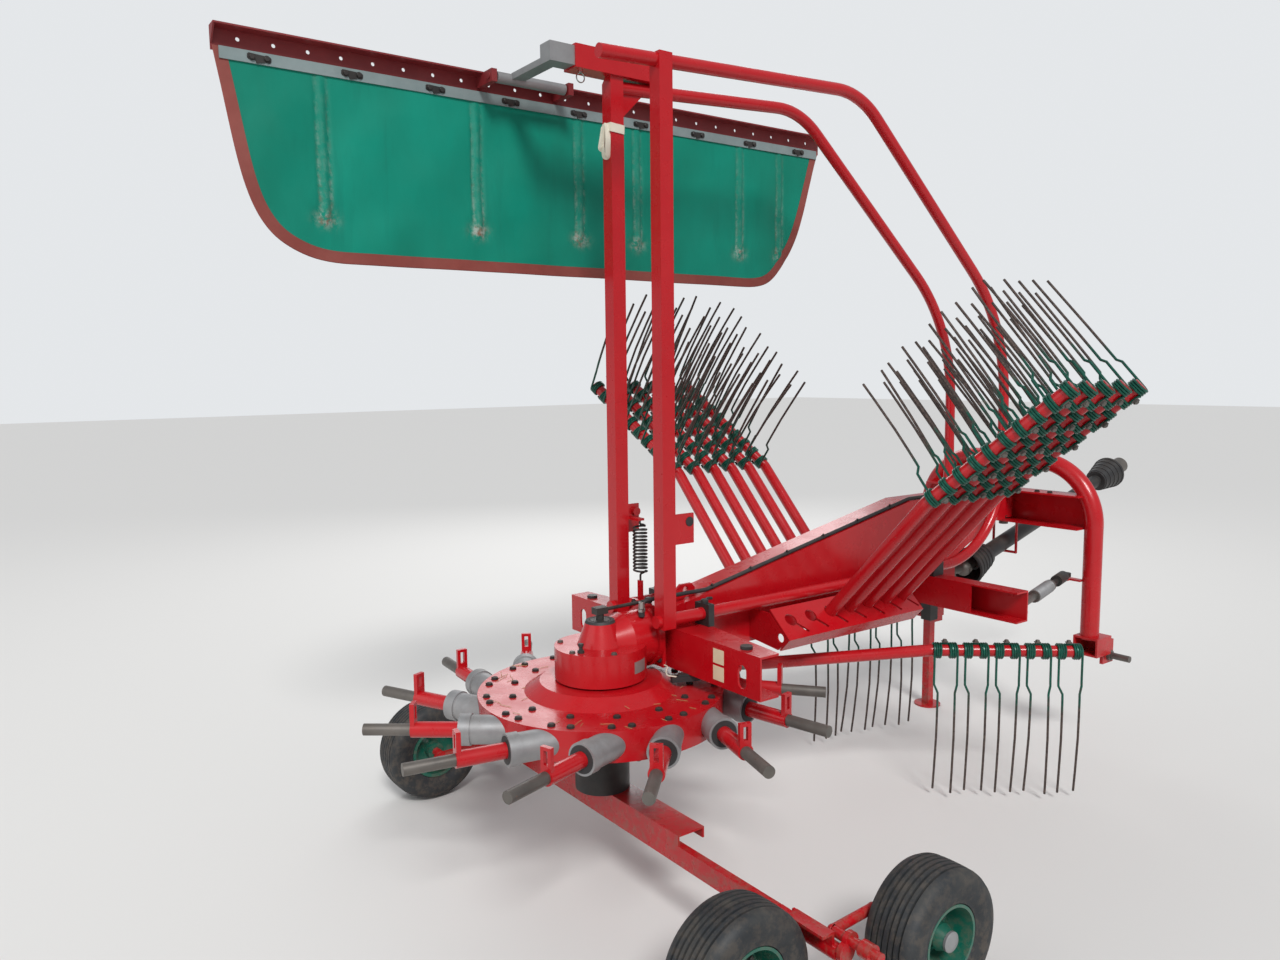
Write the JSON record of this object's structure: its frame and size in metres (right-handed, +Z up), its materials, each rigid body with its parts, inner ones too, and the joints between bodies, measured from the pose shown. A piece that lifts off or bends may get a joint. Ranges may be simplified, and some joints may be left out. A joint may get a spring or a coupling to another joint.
{
  "type": "rotary hay rake",
  "caption": "Single-rotor hay rake with folded-up guards, a hanging swath curtain, tine arms stowed on racks, tandem wheels and a pivoting arched hitch.",
  "frame": {"origin": "on the ground under the middle of the whole parked machine", "axes": "+X forward, the direction of travel; +Y to the left; +Z up"},
  "size_m": [4.2434, 2.299, 2.674],
  "materials": {
    "red_paint": "gloss",
    "galvanised": "satin",
    "dark_steel": "satin",
    "bare_steel": "satin",
    "tine_green": "satin",
    "black_rubber": "matte",
    "black_plastic": "matte",
    "curtain_green": "satin",
    "tyre": "matte",
    "rim_green": "gloss"
  },
  "bodies": {
    "frame": {"main_beam": "red_paint", "gearbox": "red_paint", "cam_lever": "dark_steel", "input_shaft": "bare_steel", "guard_bases": "red_paint", "guard_blocks": "black_plastic", "hydraulic_hose": "black_rubber", "storage_racks": "red_paint", "stowed_arms": "red_paint", "stowed_tines_right": "tine_green", "stowed_tines_left": "tine_green", "cam_housing": "dark_steel", "axle_beam": "red_paint", "tandem_rockers": "red_paint", "guard_spring": "bare_steel"},
    "rotor": {"rotor_housing": "red_paint", "bearing_housings": "galvanised", "stub_arms": "red_paint", "spigots": "bare_steel", "mounted_arms": "red_paint", "mounted_tines": "tine_green"},
    "guard_right": {"guard_right": "red_paint"},
    "guard_left": {"guard_left": "red_paint"},
    "curtain_arm": {"curtain_arm": "galvanised"},
    "curtain": {"curtain_rail": "red_paint", "curtain_strip": "galvanised", "curtain_sheet": "curtain_green"},
    "wheel_front_right": {"tyre_front_right": "tyre", "rim_front_right": "rim_green"},
    "wheel_front_left": {"tyre_front_left": "tyre", "rim_front_left": "rim_green"},
    "wheel_rear_right": {"tyre_rear_right": "tyre", "rim_rear_right": "rim_green"},
    "wheel_rear_left": {"tyre_rear_left": "tyre", "rim_rear_left": "rim_green"},
    "headstock": {"headstock": "red_paint", "hitch_pins": "bare_steel", "stand_guide": "dark_steel"},
    "steer_sleeve_right": {"steer_sleeve_right": "bare_steel"},
    "steer_sleeve_left": {"steer_sleeve_left": "bare_steel"},
    "steer_rod_right": {"steer_rod_right": "dark_steel"},
    "steer_rod_left": {"steer_rod_left": "dark_steel"},
    "stand": {"stand_leg": "red_paint"},
    "drive_shaft": {"drive_shaft_guard": "black_plastic", "drive_shaft_yokes": "bare_steel"}
  },
  "joints": [
    {"name": "rotor_spin", "type": "hinge", "parent": "frame", "child": "rotor", "pos_m": [-1.13167, 0, 0.58], "axis": [0, 0, 1], "continuous": true},
    {"name": "guard_right_fold", "type": "hinge", "parent": "frame", "child": "guard_right", "pos_m": [-0.28167, -0.13, 0.848], "axis": [1, 0, 0], "range_deg": [0, 90]},
    {"name": "guard_left_fold", "type": "hinge", "parent": "frame", "child": "guard_left", "pos_m": [-0.28167, 0.13, 0.848], "axis": [-1, 0, 0], "range_deg": [0, 90]},
    {"name": "curtain_slide", "type": "slide", "parent": "guard_left", "child": "curtain_arm", "axis": [1, 0, 0], "range_m": [-0.1, 0.03]},
    {"name": "curtain_swing", "type": "hinge", "parent": "curtain_arm", "child": "curtain", "pos_m": [-1.13167, 0.36, 2.612], "axis": [-1, 0, 0], "range_deg": [-90, 0]},
    {"name": "headstock_turn", "type": "hinge", "parent": "frame", "child": "headstock", "pos_m": [1.09333, 0, 1.035], "axis": [0, 0, 1], "range_deg": [-15, 15]},
    {"name": "stand_lift", "type": "slide", "parent": "headstock", "child": "stand", "axis": [0, 0, 1], "range_m": [0, 0.2]},
    {"name": "drive_shaft_lift", "type": "hinge", "parent": "frame", "child": "drive_shaft", "pos_m": [0.80333, 0, 0.77], "axis": [0, -1, 0], "range_deg": [0, 3]},
    {"name": "steer_right_turn", "type": "hinge", "parent": "frame", "child": "steer_sleeve_right", "pos_m": [0.46433, -0.5, 0.752], "axis": [0, 0, 1], "range_deg": [-4, 4]},
    {"name": "steer_right_slide", "type": "slide", "parent": "steer_sleeve_right", "child": "steer_rod_right", "axis": [0.9616, 0.2738, 0.0163], "range_m": [-0.09, 0.09]},
    {"name": "steer_left_turn", "type": "hinge", "parent": "frame", "child": "steer_sleeve_left", "pos_m": [0.46433, 0.5, 0.752], "axis": [0, 0, 1], "range_deg": [-4, 4]},
    {"name": "steer_left_slide", "type": "slide", "parent": "steer_sleeve_left", "child": "steer_rod_left", "axis": [0.9616, -0.2738, 0.0163], "range_m": [-0.09, 0.09]},
    {"name": "wheel_front_right_roll", "type": "hinge", "parent": "frame", "child": "wheel_front_right", "pos_m": [-0.82067, -1.072, 0.188], "axis": [0, 1, 0], "continuous": true},
    {"name": "wheel_front_left_roll", "type": "hinge", "parent": "frame", "child": "wheel_front_left", "pos_m": [-0.82067, 1.072, 0.188], "axis": [0, 1, 0], "continuous": true},
    {"name": "wheel_rear_right_roll", "type": "hinge", "parent": "frame", "child": "wheel_rear_right", "pos_m": [-1.34767, -0.904, 0.188], "axis": [0, 1, 0], "continuous": true},
    {"name": "wheel_rear_left_roll", "type": "hinge", "parent": "frame", "child": "wheel_rear_left", "pos_m": [-1.34767, 0.904, 0.188], "axis": [0, 1, 0], "continuous": true}
  ],
  "couplings": [
    {"joint": "curtain_swing", "follows": "guard_left_fold", "ratio": -1},
    {"joint": "steer_right_turn", "follows": "headstock_turn", "ratio": -0.20936},
    {"joint": "steer_right_slide", "follows": "headstock_turn", "m_per_rad": 0.30863},
    {"joint": "steer_left_turn", "follows": "headstock_turn", "ratio": -0.20936},
    {"joint": "steer_left_slide", "follows": "headstock_turn", "m_per_rad": -0.30863}
  ]
}
